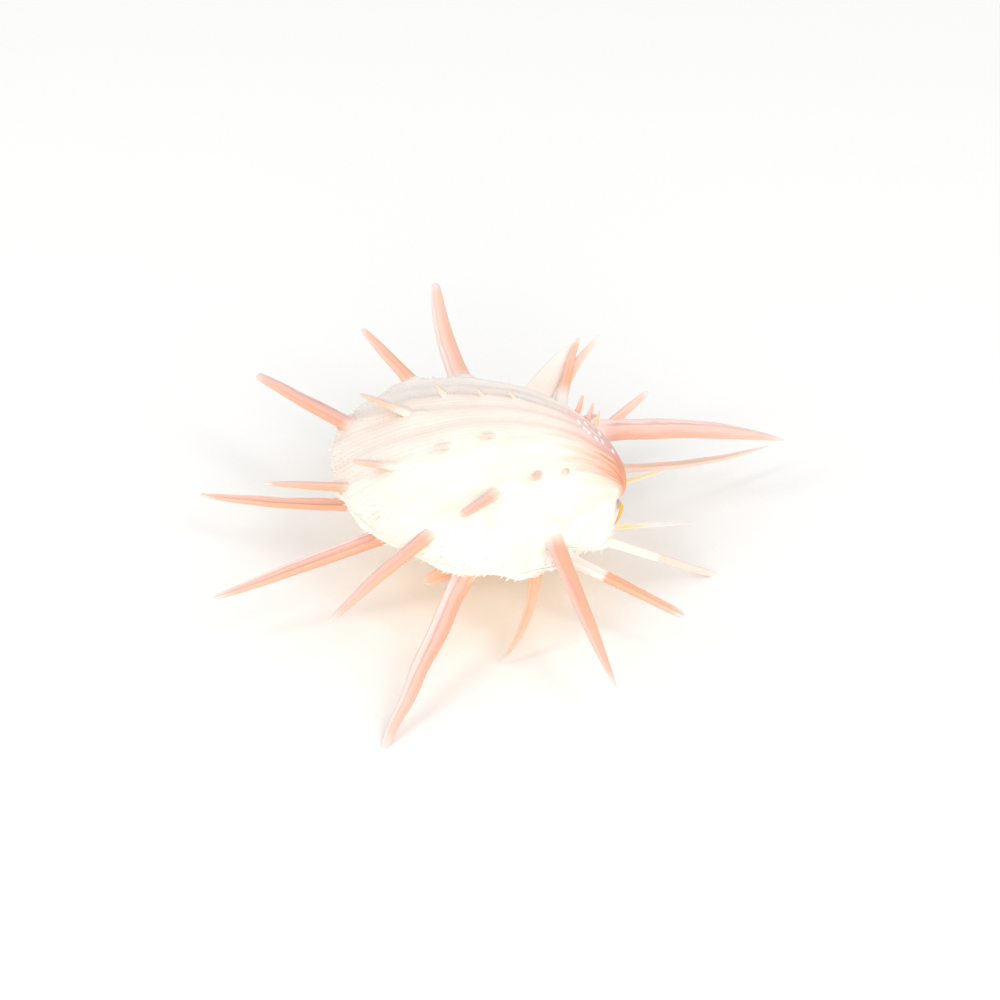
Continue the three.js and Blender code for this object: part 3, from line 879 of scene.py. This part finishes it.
# Colour of the spines: pale lilac-pink along the side that faces the light, partly their own tone and
# partly painted highlight, a thin mauve line, salmon, then orange along the other side, partly painted
# shade; cream at the root and a clear greyish tip; golden by the beak, and soon nearly white
def spine_colour(add, read, skin):
    streak_place = add("ShaderNodeCombineXYZ", {
        "X": add("divide", read["grown"], SPINE_STREAK_LENGTH),
        "Y": add("divide", read["turn"], SPINE_STREAK_TURN),
    })
    streak = add("ShaderNodeTexNoise", {"Vector": streak_place, "Scale": 1.0, "Detail": 3.0})
    wander = add("multiply_add", streak, SPINE_STREAK_WANDER, -SPINE_STREAK_WANDER / 2)
    turn = add("pingpong", add("add", read["turn"], wander), 180.0)
    share = add("divide", turn, 180.0)
    # Round the spine: the pale side is partly painted highlight, the orange side partly painted shade
    salmon = add("ShaderNodeValToRGB", {0: share}, stops=(
        (0.0, "#EDD6D2"), (0.16, "#EBCDC8"), (0.22, "#D7A69F"), (0.28, "#EBBFB1"), (0.46, "#EDB6A4"),
        (0.56, "#E2A48E"), (0.62, "#EDB096"), (1.0, "#EFB592"),
    ))
    orange = add("ShaderNodeValToRGB", {0: share}, stops=(
        (0.0, "#EDD7C8"), (0.16, "#EBCFBC"), (0.22, "#D9A88C"), (0.28, "#EEBC9E"), (0.56, "#E9A680"),
        (0.62, "#EFB088"), (1.0, "#F1B68F"),
    ))
    warm = add("mix", add("between", read["warmth"], 0.0, 0.5), salmon, orange)
    whitest = add("between", read["warmth"], 0.9, 1.0)
    whiter = add("multiply", add("between", read["along"], 0.2, 0.6), whitest)
    golden = add("mix", whiter, linear("#F6DA78"), linear("#FAF3EA"))
    yellow = add("mix", add("between", read["warmth"], 0.6, 0.9), warm, golden)
    fading = add("multiply", add("between", read["along"], 0.45, 0.95), 0.35)
    faded = add("mix", fading, yellow, linear("#F4D3C6"))
    tipped = add("mix", add("between", read["along"], 0.88, 1.0), faded, linear("#E6DAD2"))
    rooted = add("multiply", add("between", read["past_root"], 0.2, 5.0), read["spine"])
    strength = add("multiply", rooted, add("subtract", 1.0, read["faint"]))
    return add("mix", strength, skin, tipped)


# Growth lines across the ribs, and the chalky grain of an old shell surface, as fine relief
def shell_bump(add, read):
    steps = add("divide", read["grown"], GROWTH_LINE_SPACING)
    swing = add("multiply_add", read["cloud"], GROWTH_LINE_WANDER, steps)
    lines = add("ShaderNodeTexNoise", {"W": swing, "Scale": 1.0, "Detail": 3.0}, noise_dimensions="1D")
    lined = add("ShaderNodeBump", {"Height": lines, "Strength": 1.0, "Distance": GROWTH_LINE_DEPTH * MM})
    return add("ShaderNodeBump", {
        "Height": read["grain"], "Strength": 1.0, "Distance": GRAIN_DEPTH * MM, "Normal": lined,
    })


# Shell: prismatic calcite over a chalky layer, matt and a little translucent, smoother and glossier
# on the spines, and porcelain white inside
def shell_material(name, skin_colour):
    material, add = new_material(name)
    read = shell_inputs(add)
    outside = spine_colour(add, read, skin_colour(add, read))
    colour = add("mix", read["inside"], outside, linear("#FAF6F0"))
    rough_skin = add("ShaderNodeMapRange", {"Value": read["grain"], "To Min": 0.5, "To Max": 0.72})
    smoother = add("multiply", read["spine"], -0.16)
    roughness = add("add", rough_skin, smoother)
    surface = add("ShaderNodeBsdfPrincipled", {
        "Base Color": colour,
        "Roughness": roughness,
        "IOR": CALCITE_IOR,
        "Specular IOR Level": 0.4,
        "Subsurface Weight": 0.18,
        "Subsurface Radius": (1.0, 0.55, 0.4),
        "Subsurface Scale": 1.2 * MM,
        "Normal": shell_bump(add, read),
    })
    add("ShaderNodeOutputMaterial", {"Surface": surface})
    return material


# Prickles: thin scales of the same shell, which take the skin's colour at the root and end clear and
# greyish white
def prickle_material(name, skin_colour):
    material, add = new_material(name)
    read = shell_inputs(add)
    skin = skin_colour(add, read)
    pale = add("mix", add("between", read["along"], 0.1, 0.8), skin, linear("#F7F1EB"))
    surface = add("ShaderNodeBsdfPrincipled", {
        "Base Color": pale,
        "Roughness": add("ShaderNodeMapRange", {"Value": read["grain"], "To Min": 0.45, "To Max": 0.65}),
        "IOR": CALCITE_IOR,
        "Specular IOR Level": 0.4,
        "Subsurface Weight": 0.3,
        "Subsurface Radius": (1.0, 0.7, 0.55),
        "Subsurface Scale": 1.0 * MM,
    })
    add("ShaderNodeOutputMaterial", {"Surface": surface})
    return material


# Ligament: dried dark brown tissue, wrinkled, with a dull sheen
def ligament_material():
    material, add = new_material("dried_ligament")
    where = add("ShaderNodeTexCoord", {}, out=3)
    patches = add("ShaderNodeTexNoise", {"Vector": where, "Scale": noise_scale(PATCH_SIZE), "Detail": 4.0})
    # The wave texture runs through 20 radians a unit
    wave_scale = 2 * math.pi / 20 * noise_scale(WRINKLE_SPACING)
    wave = {"Vector": where, "Scale": wave_scale, "Distortion": 5.0, "Detail": 3.0}
    wrinkles = add("ShaderNodeTexWave", wave)
    bump = {"Height": wrinkles, "Strength": 1.0, "Distance": WRINKLE_DEPTH * MM}
    surface = add("ShaderNodeBsdfPrincipled", {
        "Base Color": add("mix", patches, linear("#2B1D12"), linear("#6A4A2C")),
        "Roughness": add("ShaderNodeMapRange", {"Value": patches, "To Min": 0.55, "To Max": 0.85}),
        "IOR": 1.5,
        "Normal": add("ShaderNodeBump", bump),
    })
    add("ShaderNodeOutputMaterial", {"Surface": surface})
    return material


# Plain white board
def board_material():
    material, add = new_material("white_board")
    where = add("ShaderNodeTexCoord", {}, out=3)
    fibres = add("ShaderNodeTexNoise", {"Vector": where, "Scale": noise_scale(FIBRE_SIZE), "Detail": 4.0})
    surface = add("ShaderNodeBsdfPrincipled", {
        "Base Color": add("mix", fibres, linear("#F5F5F4"), linear("#F9F9F8")),
        "Roughness": 0.9,
        "Specular IOR Level": 0.1,
    })
    add("ShaderNodeOutputMaterial", {"Surface": surface})
    return material


def make_floor():
    half = 3.0
    corners = [(-half, -half, 0), (half, -half, 0), (half, half, 0), (-half, half, 0)]
    mesh = bpy.data.meshes.new("floor")
    mesh.from_pydata(corners, [], [(0, 1, 2, 3)])
    floor = bpy.data.objects.new("floor", mesh)
    bpy.context.scene.collection.objects.link(floor)
    mesh.materials.append(board_material())
    return floor


# A soft light that looks at the shell from a heading and height in degrees. Sizes are in metres.
def soft_light(name, heading, height, width, tall, power):
    distance = 1.8
    light = bpy.data.lights.new(name, "AREA")
    light.shape = "RECTANGLE"
    light.size = width
    light.size_y = tall
    light.energy = power
    turn, lift = math.radians(heading), math.radians(height)
    lamp = bpy.data.objects.new(name, light)
    lamp.location = (
        distance * math.cos(lift) * math.cos(turn),
        distance * math.cos(lift) * math.sin(turn),
        distance * math.sin(lift),
    )
    lamp.rotation_euler = (math.radians(90 - height), 0, turn + math.radians(90))
    bpy.context.scene.collection.objects.link(lamp)


# Bright even light of a white tent, with tall narrow lights at the front right and front left, and a
# broad low one in front
def light_scene():
    world = bpy.data.worlds.new("tent")
    world.use_nodes = True
    world.node_tree.nodes["Background"].inputs["Color"].default_value = (1.0, 1.0, 0.99, 1.0)
    world.node_tree.nodes["Background"].inputs["Strength"].default_value = 0.69
    bpy.context.scene.world = world
    soft_light("front_right", heading=-42.0, height=42.0, width=0.4, tall=1.6, power=9.4)
    soft_light("front_left", heading=-152.0, height=42.0, width=0.4, tall=1.6, power=9.4)
    soft_light("front", heading=-90.0, height=22.0, width=1.2, tall=0.8, power=8.8)


# The camera looks along +Y from above, with a short telephoto lens
def place_camera():
    lift = math.radians(38.0)
    distance = 0.48875
    aim = np.array([0.00055, -0.0005, 0.018])
    data = bpy.data.cameras.new("camera")
    data.lens = 85.0
    data.sensor_width = 36.0
    camera = bpy.data.objects.new("camera", data)
    camera.location = aim + distance * np.array([0, -math.cos(lift), math.sin(lift)])
    camera.rotation_euler = (math.pi / 2 - lift, 0, 0)
    bpy.context.scene.collection.objects.link(camera)
    bpy.context.scene.camera = camera


def dress(piece, material, slot, *replaced):
    piece.data.materials.clear()
    piece.data.materials.append(material)
    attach(piece, "root")
    if replaced:
        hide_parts(*replaced)


def build_shell():
    ground = cutting_block("ground", -FAR, -HINGE[2], level=False)
    upper_shell = make_valve("upper_shell", UPPER, UPPER_SPINES, [ground])
    ground = cutting_block("ground", -FAR, -HINGE[2], level=False)
    over_edge = cutting_block("over_edge", -HALF_GAP, FAR, level=True)
    lower_shell = make_valve("lower_shell", LOWER, LOWER_SPINES, [ground, over_edge])
    dress(upper_shell, shell_material("upper_shell", upper_skin_colour), "upper_shell", "upper_valve")
    dress(lower_shell, shell_material("lower_shell", lower_skin_colour), "lower_shell", "lower_valve")
    upper_prickles = make_prickles("upper_prickles", UPPER, UPPER_SPINES, WORN_SCALES, 21)
    lower_prickles = make_prickles("lower_prickles", LOWER, LOWER_SPINES, (), 22)
    dress(upper_prickles, prickle_material("upper_prickles", upper_skin_colour), "upper_shell")
    dress(lower_prickles, prickle_material("lower_prickles", lower_skin_colour), "lower_shell")
    pad = ligament_form("ligament_pad", 0.0)
    dress(pad, ligament_material(), "ligament", "hinge_ligament")


build_shell()
make_floor()
light_scene()
place_camera()
bpy.context.scene.view_settings.view_transform = "Standard"

bpy.context.view_layer.update()
